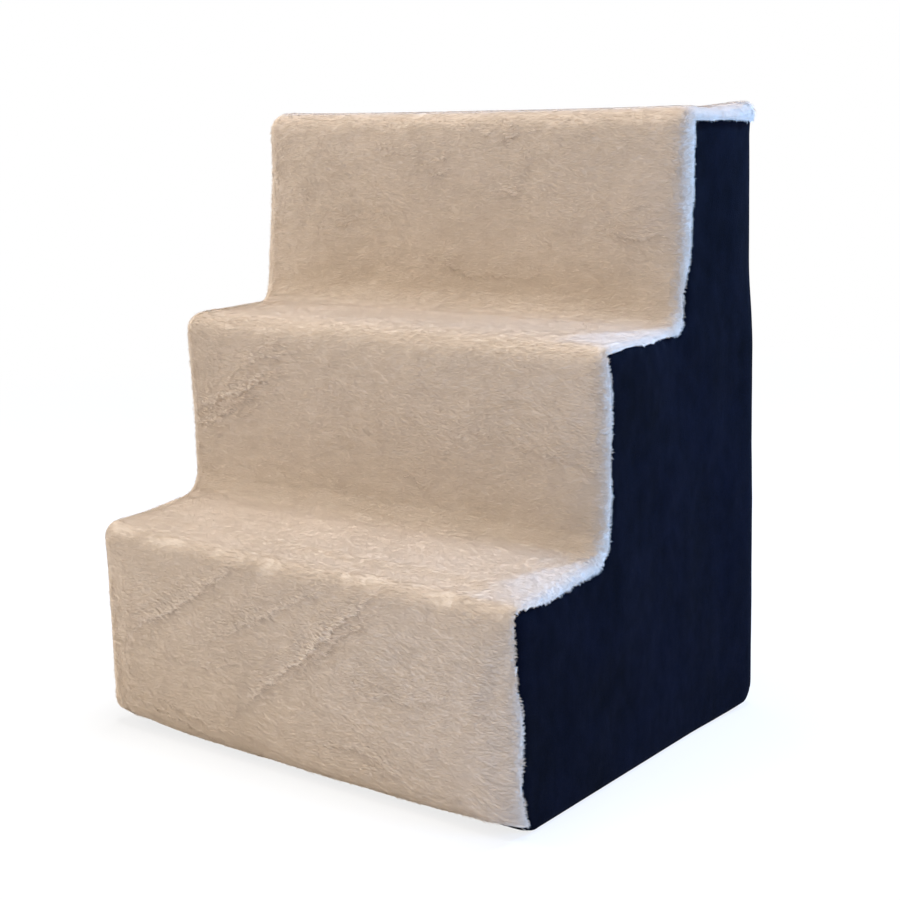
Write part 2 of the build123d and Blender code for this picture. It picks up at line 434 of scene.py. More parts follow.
# %% Lean and sag
def settle(piece):
    """Lets a piece of the cover sag and lean as the soft original does."""
    places = points(piece)
    x, y, z = places.T
    from_left, from_front = x + half_width, y - risers[0]
    first, third = 1 - ramp(z, 0.14, 0.20), ramp(z, 0.27, 0.34)
    second = 1 - first - third
    left = np.clip(-x / half_width, 0, 1) ** 2 * (1 - ramp(y, 0.09, 0.14))
    right = np.clip(x / half_width, 0, 1) ** 2 * (1 - ramp(y, 0.08, 0.14) * (1 - ramp(abs(x), 0.172, 0.190)))
    waist = bump_at(z, 0.335, 0.055) * np.clip((y - 0.03) / 0.03, 0, 1)
    crown = np.clip((z - 0.425) / 0.02, 0, 1) * (1 - (x / half_width) ** 2)
    dip = np.clip((z - 0.43) / 0.01, 0, 1) * np.clip((y - 0.075) / 0.03, 0, 1)
    rear = bump_at(x, 0.19, 0.03) * bump_at(y, 0.15, 0.03) * ramp(z, 0.428, 0.446)
    hip = ramp(y, 0.10, 0.15) * ramp(x, 0.172, 0.190) * (1 - 0.7 * third)
    heel_lift = bump_at(x, 0.19, 0.04) * bump_at(y, 0.15, 0.03) * bump_at(z, 0, 0.03)
    toe = np.clip(np.exp(-(from_left + from_front + z) / 0.03), 0, 1)
    low_step = ramp(z, 0.09, 0.14) * ramp(-z, -0.23, -0.155)
    tucked = np.clip(1 - z / 0.022, 0, 1) ** 2 * np.clip((-0.12 - y) / 0.03, 0, 1)
    corner = np.clip(1 - from_left / 0.014, 0, 1) * np.clip(1 - from_front / 0.014, 0, 1)
    sharp = corner * (1 - ramp(z, 0.01, 0.07))
    foot = sum(bump_at(z, tread + 0.010, 0.028) * bump_at(y, riser, 0.03)
               for riser, tread in zip(risers[1:], treads))
    rise = 0.004 + 0.007 * ramp(y, -0.148, -0.06) + 0.004 * left * (1 - ramp(y, -0.15, -0.10))
    places[:, 0] += 0.003 * rear - 0.006 * left * waist + 0.0035 * hip - 0.003 * sharp
    places[:, 0] += left * ((0.0050 + 0.002 * ramp(-z, -0.06, 0)) * first - 0.0030 * second - 0.0044 * third)
    places[:, 0] += right * (0.0022 * first + 0.0013 * second)
    places[:, 0] -= right * (1 - ramp(y, 0.06, 0.12)) * (0.002 * first + 0.002 * second + 0.0035 * third)
    places[:, 1] += 0.002 * rear - 0.002 * left * waist + 0.008 * tucked - 0.003 * sharp - 0.005 * foot
    places[:, 2] += 0.009 * toe + 0.003 * heel_lift - 0.0015 * crown - 0.0025 * dip
    places[:, 2] += rise * low_step + 0.005 * rear
    put_points(piece, places)


# %% Cut the runner
def copy_of(piece, name):
    twin = piece.copy()
    twin.data = piece.data.copy()
    twin.name = twin.data.name = name
    bpy.context.scene.collection.objects.link(twin)
    return twin


runner = copy_of(plush_body, "plush_runner")
trim(runner, lambda p: np.minimum(to_seam(p), p[:, 2] - foot_line(p)))
print("plush runner:", len(runner.data.polygons), "faces")

# %% [markdown]
# ## Creases in the plush
# The cover is a little loose on the lower steps, where it shows a few drag creases and a crumpled patch. Each
# is a route over the riser. The ground cloth only dips and swells softly there, and the pile on it later
# carries the sharp lip, which is finer than the cloth's own squares, with a painted highlight on the lip and
# a painted shadow below it.

# %% Distances beside a route
def beside(p, route):
    """How far points of (x, z) lie from a route, to its left, and along it."""
    route = np.array(route)
    spans = np.linalg.norm(np.diff(route, axis=0), axis=1)
    starts = np.concatenate([[0], np.cumsum(spans)])
    best, offset, along = np.full(len(p), 9.0), np.zeros(len(p)), np.zeros(len(p))
    for a, b, span, start in zip(route[:-1], route[1:], spans, starts):
        way = (b - a) / span
        part = np.clip((p - a) @ way, 0, span)
        gap = p - a - part[:, None] * way
        far = np.linalg.norm(gap, axis=1)
        closer = far < best
        best = np.where(closer, far, best)
        offset = np.where(closer, gap @ np.array([-way[1], way[0]]), offset)
        along = np.where(closer, (start + part) / starts[-1], along)
    return best, offset, np.sin(math.pi * np.clip(0.06 + 0.88 * along, 0, 1)) ** 0.7


def on_riser(places, step):
    """Which points lie on the flat part of a riser."""
    return abs(places[:, 1] - risers[step]) < 0.014


# %% The routes of the creases
# Each row gives the step, the places in x and z on its riser, and how deep it is.
creases = [
    (0, [(-0.156, 0.077), (-0.150, 0.086), (-0.128, 0.094), (-0.100, 0.108), (-0.044, 0.140)], 0.0022),
    (0, [(-0.070, 0.088), (-0.041, 0.102), (0.001, 0.120), (0.044, 0.139)], 0.0016),
    (0, [(-0.047, 0.042), (-0.003, 0.075), (0.040, 0.108), (0.081, 0.138)], 0.0026),
    (0, [(0.010, 0.078), (0.048, 0.108), (0.078, 0.128)], 0.0016),
    (0, [(-0.128, 0.067), (-0.098, 0.064), (-0.071, 0.067), (-0.035, 0.079)], 0.0010),
    (0, [(-0.180, 0.032), (-0.150, 0.022), (-0.126, 0.018), (-0.084, 0.010), (-0.053, 0.008)], 0.0014),
    (0, [(-0.150, 0.030), (-0.118, 0.026), (-0.080, 0.018), (-0.040, 0.020)], 0.0012),
    (0, [(0.052, 0.080), (0.062, 0.075), (0.072, 0.072), (0.110, 0.078), (0.148, 0.086)], 0.0010),
    (0, [(0.020, 0.029), (0.045, 0.031), (0.067, 0.034), (0.077, 0.030), (0.061, 0.019)], 0.0016),
    (0, [(0.158, 0.136), (0.163, 0.138)], 0.0014),
    (1, [(-0.189, 0.206), (-0.164, 0.217), (-0.149, 0.227), (-0.140, 0.233), (-0.118, 0.239)], 0.0024),
    (1, [(-0.180, 0.224), (-0.160, 0.232), (-0.143, 0.238)], 0.0018),
    (1, [(-0.153, 0.227), (-0.139, 0.239), (-0.119, 0.248), (-0.105, 0.253)], 0.0022),
    (1, [(-0.180, 0.218), (-0.158, 0.227), (-0.149, 0.232)], 0.0014),
    (1, [(-0.113, 0.268), (-0.104, 0.272), (-0.095, 0.271), (-0.079, 0.275)], 0.0018),
    (1, [(-0.134, 0.266), (-0.121, 0.266), (-0.112, 0.271)], 0.0014),
    (1, [(-0.118, 0.246), (-0.111, 0.254), (-0.107, 0.262)], 0.0012),
    (1, [(-0.154, 0.257), (-0.156, 0.264), (-0.155, 0.271)], 0.0012),
    (1, [(-0.139, 0.221), (-0.126, 0.225), (-0.115, 0.233)], 0.0010),
    (1, [(-0.143, 0.284), (-0.149, 0.291), (-0.157, 0.296)], 0.0012),
    (1, [(-0.106, 0.287), (-0.116, 0.291), (-0.127, 0.296)], 0.0010),
    (1, [(0.055, 0.208), (0.061, 0.220), (0.069, 0.226),
         (0.081, 0.231), (0.091, 0.231), (0.103, 0.230)], 0.0010),
    (1, [(0.138, 0.222), (0.164, 0.219), (0.177, 0.217), (0.192, 0.212)], 0.0010),
    (1, [(0.020, 0.190), (0.036, 0.186), (0.046, 0.176)], 0.0008),
    (2, [(-0.026, 0.408), (-0.016, 0.409), (-0.008, 0.417)], 0.0018),
    (2, [(-0.031, 0.398), (-0.021, 0.397), (-0.010, 0.402)], 0.0016),
    (2, [(0.012, 0.434), (0.018, 0.427), (0.028, 0.429)], 0.0012),
    (2, [(0.036, 0.432), (0.039, 0.425), (0.050, 0.427)], 0.0020),
    (2, [(0.030, 0.386), (0.047, 0.386), (0.052, 0.394)], 0.0016),
    (2, [(-0.085, 0.416), (-0.070, 0.413), (-0.055, 0.413)], 0.0010),
    (2, [(0.133, 0.358), (0.148, 0.356), (0.176, 0.358)], 0.0016),
    (2, [(0.135, 0.372), (0.151, 0.378), (0.178, 0.375)], 0.0010),
    (2, [(-0.024, 0.333), (0.003, 0.325), (0.048, 0.325)], 0.0010),
    (2, [(-0.120, 0.357), (-0.098, 0.364)], 0.0008),
]
print("creases:", len(creases))

# %% The crumpled patch and the lips of the pile
def crumple(places):
    """The crumpled patch at the left of the second riser, as short folds that slant upwards."""
    x, z = places[:, 0] + 0.145, places[:, 2] - 0.236
    patch = bump_at(0.8 * x + 0.6 * z, 0, 0.040) * bump_at(0.8 * z - 0.6 * x, 0, 0.020)
    along, across = 0.86 * x + 0.5 * z, 0.86 * z - 0.5 * x
    folds = ripple(np.stack([0.22 * along, np.zeros(len(x)), across], 1), 0.0075, 21, 12)
    return on_riser(places, 1) * patch * (bump_at(folds, 0, 0.4) - 0.3)


def lips(places):
    """How far the pile stands out beside the creases, and the painted highlight and painted shade that it
    gets there.

    Each crease is sharp on its lower side, where the parted pile is given a painted shadow, and soft on the
    upper, where its lip is given a painted highlight."""
    p = places[:, [0, 2]]
    jagged = 0.0005 * ripple(places * (0.15, 0, 1), 0.0018, 31, 12) + 0.0015 * ripple(places, 0.012, 32, 8)
    # The crumpled patch gets a painted highlight on its fold ridges and painted shade between them.
    height, shade = 0.0007 * crumple(places), 0.5 * crumple(places)
    for step, route, press in creases:
        low, high = np.min(route, 0) - 0.02, np.max(route, 0) + 0.02
        at = np.flatnonzero(on_riser(places, step) & np.all((p > low) & (p < high), 1))
        far, offset, fade = beside(p[at], route)
        t = offset + jagged[at]
        lip = np.where(t > 0, np.exp(-t / 0.0055) * (1 - np.exp(-t / 0.0006)), 0)
        # A painted highlight on the lip above each crease, and a painted shadow just below it.
        painted_highlight_and_shadow = np.where(t > 0, 1.1 * np.exp(-t / 0.0042), -1.0 * np.exp(t / 0.0032))
        height[at] += fade * press * 0.85 * lip
        shade[at] += fade * press * 500 * painted_highlight_and_shadow
    return height, shade


# %% Press the creases into the ground cloth
places = points(runner)
facing = np.clip(-normals(runner)[:, 1], 0, 1)
pressed = -0.0006 * crumple(places)
for step, route, press in creases:
    far, offset, fade = beside(places[:, [0, 2]], route)
    groove = bump_at(far, 0, 0.008) - 0.8 * bump_at(offset, 0.011, 0.008) * (far < 0.03)
    pressed += on_riser(places, step) * fade * 0.2 * press * groove
places[:, 1] += pressed * facing
uneven = 0.0004 * ripple(places, 0.06, 5) + 0.0002 * ripple(places, 0.02, 6)
places += normals(runner) * ((0.1 + 0.8 * facing ** 4) * uneven)[:, None]
put_points(runner, places)
print("deepest crease in the ground cloth:", round(pressed.max() * 1000, 1), "mm")

# %% [markdown]
# ## The pile
# Plush is a woven ground with thousands of short fibres that lie over in the
# direction of the nap. Each strand here is a thin spindle of two faces, rooted in
# the runner and bent at its middle. Most lie across the step, in patches that
# lean a little differently, and those at the side edges fall over the seam onto
# the velour. Strands are far too many to model by hand, so they are scattered by
# code.

# %% Scatter the roots
def scatter(skin, where, count, rng):
    """Random points on the faces of skin that pass where, and the way each faces."""
    mesh = skin.data
    mesh.calc_loop_triangles()
    corners = np.empty(3 * len(mesh.loop_triangles), int)
    mesh.loop_triangles.foreach_get("vertices", corners)
    corners = corners.reshape(-1, 3)
    places, outs = points(skin), normals(skin)
    corners = corners[where(places[corners].mean(1))]
    a, b, c = (places[corners[:, i]] for i in range(3))
    areas = np.linalg.norm(np.cross(b - a, c - a), axis=1)
    chosen = rng.choice(len(corners), count, p=areas / areas.sum())
    u, v = rng.random((2, count, 1))
    u, v = np.where(u + v > 1, 1 - u, u), np.where(u + v > 1, 1 - v, v)
    a, b, c = corners[chosen].T
    return [(1 - u - v) * t[a] + u * t[b] + v * t[c] for t in (places, outs)]


def lift_at_creases(roots, out):
    """Raises and tilts the roots beside the creases, and gives each strand its share of painted highlight and
    painted shade.
    """
    front = np.clip(-out[:, 1] * 2 - 0.8, 0, 1)
    at = np.flatnonzero(front)
    slope = slope_of(lambda p: lips(p)[0], roots[at]) * front[at, None]
    height, painted_light_and_shade = lips(roots[at])
    roots[at, 1] -= height * front[at]
    out[at] -= np.clip(slope, -1.2, 1.2)
    out /= np.linalg.norm(out, axis=1)[:, None]
    # shade holds the painted highlight and painted shadow of the creases for each strand.
    shade = np.zeros(len(roots))
    shade[at] = painted_light_and_shade * front[at]
    return shade


# %% Lay and build the strands
def along_nap(roots, out, rng):
    """The direction in which each strand lies, along the surface."""
    lean = 0.14 * ripple(roots, 0.06, 8) + 0.08 * ripple(roots, 0.02, 9) + rng.normal(0, 0.12, len(roots))
    flat = np.stack([np.cos(lean), np.zeros(len(roots)), np.zeros(len(roots))], 1)
    flat += np.cross(np.array([1.0, 0, 0]), out) * np.sin(lean)[:, None]
    inward = slope_of(depth, roots) + 0.5 * rng.normal(size=(len(roots), 3))
    turned = np.clip((np.maximum(abs(out[:, 0]), out[:, 1]) - 0.25) / 0.4, 0, 1)[:, None]
    way = flat * (1 - turned) + inward * turned
    way -= (way * out).sum(1)[:, None] * out
    return way / np.maximum(np.linalg.norm(way, axis=1), 1e-6)[:, None]


def strand_piece(name, rings, shade):
    """One mesh of strands from their four corners each: root, two sides of the middle, and tip."""
    count = len(rings)
    pile = bpy.data.meshes.new(name)
    pile.vertices.add(4 * count)
    pile.vertices.foreach_set("co", rings.ravel())
    pile.loops.add(6 * count)
    pile.loops.foreach_set("vertex_index", (4 * np.arange(count)[:, None] + [0, 2, 1, 1, 2, 3]).ravel())
    pile.polygons.add(2 * count)
    pile.polygons.foreach_set("loop_start", 3 * np.arange(2 * count))
    pile.update(calc_edges=True)
    pile.shade_smooth()
    # The shade attribute carries each strand's painted highlight and painted shadow.
    pile.attributes.new("shade", "FLOAT", "POINT").data.foreach_set("value", np.repeat(shade, 4))
    piece = bpy.data.objects.new(name, pile)
    bpy.context.scene.collection.objects.link(piece)
    return piece


def grow_pile(name, skin, where, count, length, width, seed):
    """Scatters tapering strands over the faces of skin that pass where."""
    rng = np.random.default_rng(seed)
    roots, out = scatter(skin, where, count, rng)
    shade = lift_at_creases(roots, out)
    way = along_nap(roots, out, rng)
    across = np.cross(out, way)
    long = length * rng.uniform(0.6, 1.15, (count, 1))
    at_seam = to_seam(roots) < 0.004
    long[at_seam] *= (0.35 + 0.35 * np.clip(0.3 + 0.5 * ripple(roots, 0.009, seed), 0, 1))[at_seam, None]
    rise = 0.8 * rng.uniform(0.04, 0.17, (count, 1))
    half = width * rng.uniform(0.7, 1.2, (count, 1)) / 2
    bent = rng.normal(0, 0.12, (count, 1))
    middle = roots + long * (0.45 * way + rise * out)
    tip = roots + long * (way + rise * out + bent * across)
    rings = np.stack([roots - 0.0004 * out, middle - half * across, middle + half * across, tip], 1)
    rings[:, :, 2] = np.maximum(rings[:, :, 2], 0.0006)
    return strand_piece(name, rings, shade)


# %% Grow the pile and let the runner settle
def in_step(step):
    """The faces of one step: its riser and its tread."""
    low = treads[step - 1] + 0.004 if step else -1
    high = treads[step] + 0.004 if step < 2 else 1
    return lambda p: (p[:, 2] > low) & (p[:, 2] <= high)


strand_size = {"length": 0.0055, "width": 0.00042}
fringe_size = {"length": 0.0050, "width": 0.00032}
pile_counts, fringe_count = (90000, 90000, 84000), 18000
piles = []
for step, (name, count) in enumerate(zip(("lower", "middle", "upper"), pile_counts)):
    piles.append(grow_pile("pile_" + name, runner, in_step(step), count, seed=40 + step, **strand_size))
piles.append(grow_pile("pile_fringe", runner, lambda p: to_seam(p) < 0.003,
                       fringe_count, seed=50, **fringe_size))
for piece in (runner, *piles):
    settle(piece)
print("strands:", sum(pile_counts) + fringe_count)

plush_thickness = 0.0032
add_modifier(runner, "SOLIDIFY", thickness=plush_thickness, offset=-1)
make_active(runner)
bpy.ops.object.shade_smooth()
print("plush runner with its thickness:", len(runner.data.polygons), "faces")

# %% [markdown]
# ## Velour sides, base and back
# The smaller body gives all velour panels, so that they meet edge to edge. It is
# waved very softly and drawn in at the seams, where the stitches pull, and then
# copied and cut once for each panel.

# %% Shape the velour body
remesh(velour_body)
add_modifier(velour_body, "SUBSURF", levels=1, render_levels=1)


def bay(places):
    """Distance in from the centre line of the zip's U, in the back view."""
    x = abs(places[:, 0]) - (leg - zip_corner)
    z = zip_foot + zip_corner - places[:, 2]
    outside = np.hypot(np.maximum(x, 0), np.maximum(z, 0))
    return zip_corner - outside - np.minimum(np.maximum(x, z), 0)


stitch_line = 0.0165


def back_relief(places):
    """How far the back stands out: soft waves, a hem beside the zip, and the groove of its stitches."""
    from_zip = abs(bay(places))
    hem = 0.0006 * bump_at(from_zip, 0.0125, 0.0035)
    groove = 0.0004 * bump_at(from_zip, stitch_line, 0.0012)
    return 0.0003 * ripple(places * (1, 0, 1), 0.07, 15) + hem - groove


places, out = points(velour_body), normals(velour_body)
x, y, z = places.T
on_side = np.clip((abs(x) - 0.183) / 0.004, 0, 1)
on_back = np.clip((y - 0.147) / 0.002, 0, 1)
from_seam = np.maximum(-to_seam(places), 0)
pull = 0.0012 * np.exp(-from_seam / 0.006) * (1 + 0.7 * ripple(places, 0.013, 12))
waves = 0.0009 * ripple(places, 0.09, 13) + 0.0003 * ripple(places, 0.03, 14)
waves *= ramp(z, 0.002, 0.06) * ramp(-y, -back, -0.11)
under_plush = 0.003 * ramp(to_seam(places), 0, 0.004)
side_seam = 0.0010 * bump_at(abs(x), wrap, 0.0022) * (z > 0.02) * (y > 0.14)
shift = on_side * (waves - pull) - under_plush + on_back * back_relief(places) - side_seam
places += shift[:, None] * out
places[:, 2] -= 0.0007 * (1 - ramp(places[:, 2], 0.001, 0.006))
put_points(velour_body, places)
print("velour moved by up to", round(abs(shift).max() * 1000, 1), "mm")

# %% [markdown]
# ## The velour panels
# Seven panels close the cover: two sides, the base, and four at the back round the
# zip. Each is a copy of the body, trimmed where its measure ends. Beside the plush
# it runs on under the runner by `tuck`, and beside the zip it stops at `zip_gap`.

# %% Cut the velour panels
tuck = 0.004
zip_gap = 0.009
velour_thickness = 0.0012
back_start, border_foot = 0.14, 0.080


def under_seam(p):
    """Above 0 on the part of the cover that is not plush, and a little under the plush."""
    return depth(p) - (seam_band - tuck)


def on_velour_side(p):
    """Above 0 on the sides, and also on the strip below the plush in front."""
    return np.maximum(under_seam(p) - seam_wander(p), np.minimum(plush_foot + tuck - p[:, 2], -p[:, 1]))


def on_back_border(p, side):
    """Above 0 on the border at one side of the zip."""
    x = side * p[:, 0]
    return np.minimum.reduce([
        wrap - x, x - leg - zip_gap, p[:, 1] - back_start, p[:, 2] - border_foot, under_seam(p)])


panels = {}
cuts = {
    "velour_side_left": lambda p: np.minimum(on_velour_side(p), -wrap - p[:, 0]),
    "velour_side_right": lambda p: np.minimum(on_velour_side(p), p[:, 0] - wrap),
    "velour_base": lambda p: np.minimum.reduce([
        wrap - abs(p[:, 0]), np.where(p[:, 2] < 0.05, heel - p[:, 1], -1), plush_foot + 2 * tuck - p[:, 2]]),
    "velour_back_flap": lambda p: np.minimum.reduce([
        bay(p) - zip_gap, p[:, 1] - back_start, under_seam(p)]),
    "velour_back_bottom": lambda p: np.minimum.reduce([
        wrap - abs(p[:, 0]), p[:, 1] - heel, -bay(p) - zip_gap, border_foot - p[:, 2]]),
    "velour_back_left": lambda p: on_back_border(p, -1),
    "velour_back_right": lambda p: on_back_border(p, 1),
}
for name, keep in cuts.items():
    panel = copy_of(velour_body, name)
    trim(panel, keep)
    settle(panel)
    add_modifier(panel, "SOLIDIFY", thickness=velour_thickness, offset=-1)
    make_active(panel)
    bpy.ops.object.shade_smooth()
    panels[name] = panel
    print(name, len(panel.data.polygons), "faces")
for body in (plush_body, velour_body):
    bpy.data.objects.remove(body)

# %% [markdown]
# ## The zip
# Its two tapes are woven strips that run down one leg of the U, round a corner,
# across and up again. Each starts as a short strip that is extruded down, spun
# round the corner, extruded across, and so on, as tape is laid by hand.

# %% Lay the two tapes
def u_strip(name, near_line, far_line, y0, y1, high, pitch=0.004):
    """A flat strip along the U, between two distances out from its centre line."""
    middle_x, middle_z = leg - zip_corner, zip_foot + zip_corner
    strip = block(name, (leg + near_line, y0, high - pitch), (leg + far_line, y1, high))
    with editing(strip):
        pick("FACE", lambda c, n: n.z < -0.9)
        steps = round((high - pitch - middle_z) / pitch)
        for _ in range(steps):
            extrude(z=-(high - pitch - middle_z) / steps)
        bpy.ops.mesh.spin(steps=16, angle=-math.pi / 2, center=(middle_x, 0, middle_z), axis=(0, 1, 0))
        steps = round(2 * middle_x / pitch)
        for _ in range(steps):
            extrude(x=-2 * middle_x / steps)
        bpy.ops.mesh.spin(steps=16, angle=-math.pi / 2, center=(-middle_x, 0, middle_z), axis=(0, 1, 0))
        steps = round((high - middle_z) / pitch)
        for _ in range(steps):
            extrude(z=(high - middle_z) / steps)
        bpy.ops.mesh.select_all(action="SELECT")
        bpy.ops.mesh.remove_doubles(threshold=0.00002)
        bpy.ops.mesh.normals_make_consistent(inside=False)
    return strip


slit = 0.0007
tape_front, tape_back = 0.1474, 0.1480
tapes = {
    "inner": u_strip("woven_tape_inner", -tape_reach, -slit, tape_front, tape_back, tape_top),
    "outer": u_strip("woven_tape_outer", slit, tape_reach, tape_front, tape_back, tape_top),
}
for tape in tapes.values():
    print(tape.name, "lies at", [round(v, 4) for corner in (0, 6) for v in tape.bound_box[corner]])

# %% [markdown]
# ## Teeth and stitches
# A coil zip shows hundreds of small ribs, and a seam hundreds of stitches. One rib
# and one stitch are modelled, and `repeat` copies a shape along a line into a
# single piece.

# %% The zip's path, and a way to repeat a shape along it
straight = tape_top - zip_foot - zip_corner
bend = zip_corner * math.pi / 2
level = 2 * (leg - zip_corner)
whole = 2 * straight + 2 * bend + level


def along_zip(s, offset=0.0):
    """Place and heading at length s down the right leg and round the U, offset outwards."""
    middle_z = zip_foot + zip_corner
    radius = zip_corner + offset
    if s < straight:
        return Vector((leg + offset, 0, tape_top - s)), 0.0
    if s < straight + bend:
        turn = (s - straight) / zip_corner
        spot = Vector((leg - zip_corner + radius * math.cos(turn), 0, middle_z - radius * math.sin(turn)))
        return spot, turn
    s -= straight + bend
    if s < level:
        return Vector((leg - zip_corner - s, 0, zip_foot - offset)), math.pi / 2
    s -= level
    if s < bend:
        turn = math.pi / 2 + s / zip_corner
        spot = Vector((zip_corner - leg + radius * math.cos(turn), 0, middle_z - radius * math.sin(turn)))
        return spot, turn
    return Vector((-leg - offset, 0, middle_z + s - bend)), math.pi


def repeat(shape, name, frames):
    """Copies a small shape to each matrix of frames, as one mesh."""
    base = points(shape)
    faces = [list(p.vertices) for p in shape.data.polygons]
    spots, sides = [], []
    for i, matrix in enumerate(frames):
        m = np.array(matrix)
        spots.append(base @ m[:3, :3].T + m[:3, 3])
        sides += [[v + i * len(base) for v in face] for face in faces]
    mesh = bpy.data.meshes.new(name)
    mesh.from_pydata(np.concatenate(spots).tolist(), [], sides)
    mesh.update()
    piece = bpy.data.objects.new(name, mesh)
    bpy.context.scene.collection.objects.link(piece)
    make_active(piece)
    bpy.ops.object.shade_smooth_by_angle(angle=math.radians(40))
    return piece


print("length of the zip:", round(whole, 4))

# %% The teeth
def rib():
    """One rib of the coil: a short bar, thick at the middle of the chain."""
    bar = block("rib", (0, -0.0009, -0.00045), (0.0032, 0.0009, 0.00045))
    with editing(bar):
        pick("FACE", lambda c, n: n.x > 0.9)
        bpy.ops.transform.resize(value=(1, 0.7, 0.75))
        pick("FACE", lambda c, n: n.x < -0.9)
        bpy.ops.transform.resize(value=(1, 0.85, 0.8))
        bpy.ops.mesh.select_all(action="SELECT")
        bpy.ops.mesh.bevel(offset=0.0002, segments=1)
    return bar


rib_pitch = 0.0014
chain_y = 0.1489
chain_top = 0.4073
chain_start = tape_top - chain_top
chain_count = int((whole - 2 * chain_start) / rib_pitch)
shape = rib()
chains = {}
for name, side, lag in (("inner", -1, 0), ("outer", 1, 0.5)):
    frames = []
    for i in range(chain_count):
        s = chain_start + (i + lag) * rib_pitch
        spot, turn = along_zip(s)
        spot.y = chain_y
        frames.append(Matrix.Translation(spot) @ Matrix.Rotation(turn, 4, "Y")
                      @ Matrix.Diagonal((side, 1, 1, 1)))
    chains[name] = repeat(shape, "zip_teeth_" + name, frames)
bpy.data.objects.remove(shape)
with editing(chains["inner"]):
    bpy.ops.mesh.select_all(action="SELECT")
    bpy.ops.mesh.flip_normals()
print("ribs in each row:", chain_count)

# %% The stitches
def stitch():
    """One stitch: a short thread that dips in at both ends."""
    thread = block("stitch", (-0.0014, -0.0002, -0.00022), (0.0014, 0.00025, 0.00022))
    with editing(thread):
        pick("EDGE", lambda c, d: abs(d.x) > 0.9)
        bpy.ops.mesh.subdivide(number_cuts=2)
        pick("FACE", lambda c, n: abs(n.x) > 0.9)
        bpy.ops.transform.resize(value=(1, 0.5, 0.5))
        bpy.ops.transform.translate(value=(0, -0.0002, 0))
        bpy.ops.mesh.select_all(action="SELECT")
        bpy.ops.mesh.bevel(offset=0.00008, segments=1)
    return thread


stitch_pitch = 0.0036


def zip_stitches(offset, y):
    """Frames of stitches that follow the U at a distance from its centre line."""
    frames = []
    s = 0.0
    while s < whole:
        spot, turn = along_zip(s, offset)
        spot.y = y
        frames.append(Matrix.Translation(spot) @ Matrix.Rotation(turn + math.pi / 2, 4, "Y"))
        in_bend = straight < s < straight + bend or straight + bend + level < s < straight + 2 * bend + level
        s += stitch_pitch * (zip_corner / (zip_corner + offset) if in_bend else 1)
    return frames


def line_stitches(a, b, y):
    """Frames of stitches on a straight line of the back, from a to b in x and z."""
    a, b = Vector((a[0], y, a[1])), Vector((b[0], y, b[1]))
    way = (b - a).normalized()
    count = int((b - a).length / stitch_pitch)
    turn = Matrix.Rotation(math.atan2(-way.z, way.x), 4, "Y")
    return [Matrix.Translation(a + way * (i + 0.5) * (b - a).length / count) @ turn for i in range(count)]


shape = stitch()
back_face, tab_face = back - velour_depth, 0.1507
above_cloth = 0.0004
frames = zip_stitches(-stitch_line, back_face) + zip_stitches(stitch_line, back_face)
for stitch_frame, lift in zip(frames, back_relief(np.array([m.translation for m in frames]))):
    stitch_frame.translation.y += lift + above_cloth
thread = repeat(shape, "zip_topstitch", frames)
box_low, box_high, box_reach = 0.4145, 0.434, 0.011
tab_frames = []
for side in (-1, 1):
    left_x, right_x = side * leg - box_reach, side * leg + box_reach
    for a, b in (((left_x, box_low), (right_x, box_low)), ((left_x, box_low), (left_x, box_high)),
                 ((right_x, box_low), (right_x, box_high)), ((left_x, box_low), (right_x, box_high)),
                 ((right_x, box_low), (left_x, box_high))):
        tab_frames += line_stitches(a, b, tab_face)
tab_thread = repeat(shape, "end_tab_stitches", tab_frames)
bpy.data.objects.remove(shape)
print("stitches:", len(frames), "beside the zip,", len(tab_frames), "on the tabs")

# %% [markdown]
# ## The tabs over the ends of the zip
# A square of cloth is sewn over each end of the tapes, so that the slider cannot
# run off. Each is a thin block whose lower corners are bevelled, and whose face is
# inset twice: up for the turned hem, and down again inside it.

# %% The cloth tabs
tab_low, tab_high, tab_reach = 0.412, 0.4355, 0.013


def end_tab(side):
    """The tab at one leg of the zip, -1 for the left and 1 for the right."""
    x = side * leg
    tab = block(f"cloth_tab_{'left' if side < 0 else 'right'}",
                (x - tab_reach, 0.1495, tab_low), (x + tab_reach, 0.1505, tab_high))
    with editing(tab):
        pick("EDGE", lambda c, d: abs(d.y) > 0.9 and c.z < 0.42)
        bpy.ops.mesh.bevel(offset=0.0015, segments=3)
        pick("FACE", lambda c, n: n.y > 0.9)
        bpy.ops.mesh.inset(thickness=0.0012, depth=0.0003)
        bpy.ops.mesh.inset(thickness=0.0012, depth=-0.0004)
    add_modifier(tab, "BEVEL", width=0.0003, segments=2)
    return tab


tabs = [end_tab(-1), end_tab(1)]
print("tabs:", [tab.name for tab in tabs])

# %% [markdown]
# ## The foam inside
# Three slabs carry three softer pads. Nothing of them shows while the zip is
# closed, but they are what fills the cover, so each is cut to its own size with
# its edges rounded as foam is trimmed.

# %% Cut the foam
def cut_foam(node, nosing):
    """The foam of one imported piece, drawn in a little where the cover has sagged."""
    low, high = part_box(node)
    low, high = low + Vector((0.009, 0.003, 0)), high - Vector((0.009, 0.001, 0.003))
    middle = (low + high) / 2
    foam = block("foam_" + node, low, high)
    with editing(foam):
        pick("EDGE", lambda c, d: abs(d.x) > 0.9 and c.z > middle.z and c.y < middle.y)
        bpy.ops.mesh.bevel(offset=nosing, segments=4)
        if node == "foam_block_lower":
            pick("EDGE", lambda c, d: abs(d.x) > 0.9 and near(c.z, low.z) and c.y < 0)
            bpy.ops.mesh.bevel(offset=0.016, segments=4)
        pick("EDGE", lambda c, d: abs(d.x) < 0.9 and near(abs(c.x), high.x))
        bpy.ops.mesh.bevel(offset=0.008, segments=3)
    return foam


